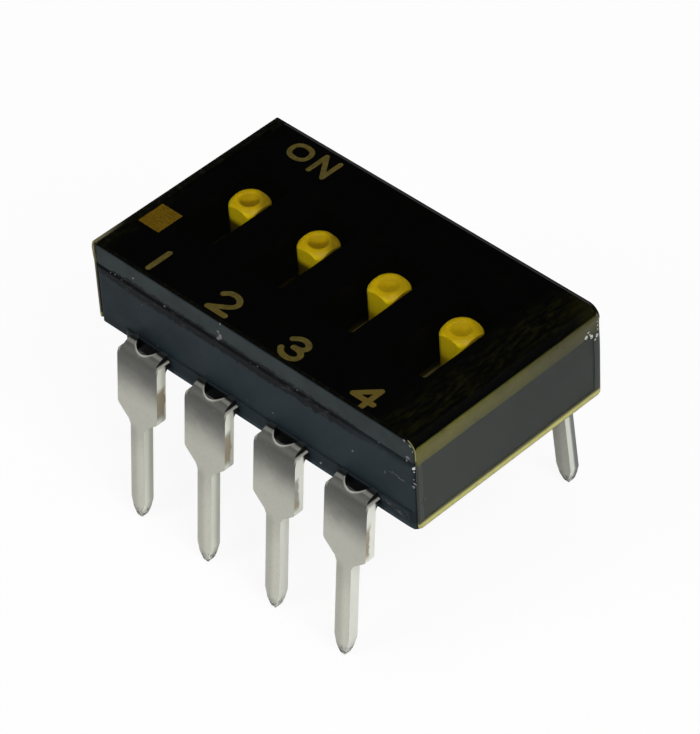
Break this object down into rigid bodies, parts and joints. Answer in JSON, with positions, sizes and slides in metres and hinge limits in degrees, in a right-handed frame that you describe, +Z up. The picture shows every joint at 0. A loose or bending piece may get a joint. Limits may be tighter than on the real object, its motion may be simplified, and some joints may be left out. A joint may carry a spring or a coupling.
{
  "type": "dip switch",
  "caption": "Slide DIP switch for through-hole mounting, with recessed knobs under a clear amber seal film and splayed tinned leads.",
  "frame": {"origin": "middle of the lead grid at the seating plane, which is the underside of the housing's foot", "axes": "+X along the row from switch 1 to switch 4, +Y towards the ON side, +Z up through the cover and the film"},
  "size_m": [0.0116, 0.0088, 0.0079],
  "materials": {
    "base_plastic": "moulded, slate black, fine texture",
    "cover_plastic": "moulded, black, smooth",
    "amber_film": "clear amber film, glossy",
    "resin": "cast resin, smooth",
    "slider_plastic": "moulded, yellow",
    "contact_metal": "gold plated spring strip",
    "lead_metal": "matte tin plate on copper alloy"
  },
  "bodies": {
    "housing": {"base": "base_plastic", "cover": "cover_plastic", "seal_tape": "amber_film", "bottom_seal": "resin", "terminal_1": "lead_metal", "terminal_2": "lead_metal", "terminal_3": "lead_metal", "terminal_4": "lead_metal", "terminal_5": "lead_metal", "terminal_6": "lead_metal", "terminal_7": "lead_metal", "terminal_8": "lead_metal"},
    "switch_1": {"slider_1": "slider_plastic", "contact_1": "contact_metal"},
    "switch_2": {"slider_2": "slider_plastic", "contact_2": "contact_metal"},
    "switch_3": {"slider_3": "slider_plastic", "contact_3": "contact_metal"},
    "switch_4": {"slider_4": "slider_plastic", "contact_4": "contact_metal"}
  },
  "joints": [
    {"name": "slide_1", "type": "slide", "parent": "housing", "child": "switch_1", "axis": [0, -1, 0], "range_m": [0, 0.0012]},
    {"name": "slide_2", "type": "slide", "parent": "housing", "child": "switch_2", "axis": [0, -1, 0], "range_m": [0, 0.0012]},
    {"name": "slide_3", "type": "slide", "parent": "housing", "child": "switch_3", "axis": [0, -1, 0], "range_m": [0, 0.0012]},
    {"name": "slide_4", "type": "slide", "parent": "housing", "child": "switch_4", "axis": [0, -1, 0], "range_m": [0, 0.0012]}
  ]
}
